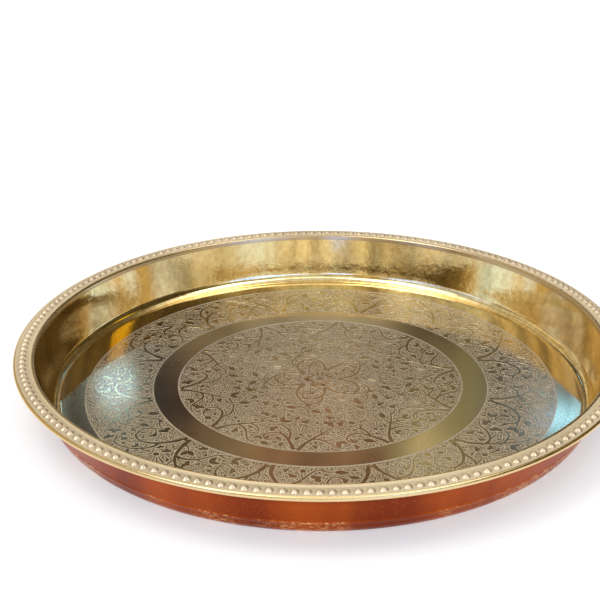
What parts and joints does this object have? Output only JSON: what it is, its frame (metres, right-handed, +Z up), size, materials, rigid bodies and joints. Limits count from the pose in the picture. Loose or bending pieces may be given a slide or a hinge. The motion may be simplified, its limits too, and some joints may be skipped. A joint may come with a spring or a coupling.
{
  "type": "serving tray",
  "caption": "Round deep serving tray in brass with a copper outer shell, an etched floor, a leaning wall and a beaded flange with a rolled edge.",
  "frame": {"origin": "centre of the flat underside, on the surface that the tray stands on", "axes": "+Z up along the tray's axis of symmetry, out of the well"},
  "size_m": [0.3556, 0.3556, 0.0342],
  "materials": {
    "brass": "polished sheet with hairline scratches, etched matte zones on the floor",
    "bead_brass": "pressed beads, worn pale",
    "wire": "drawn wire, hidden in the rolled edge",
    "copper": "copper, fine upright brush marks and a dull brown patina"
  },
  "bodies": {
    "root": {"brass_pan": "brass", "bead_border": "bead_brass", "rim_wire": "wire", "copper_shell": "copper"}
  },
  "joints": []
}
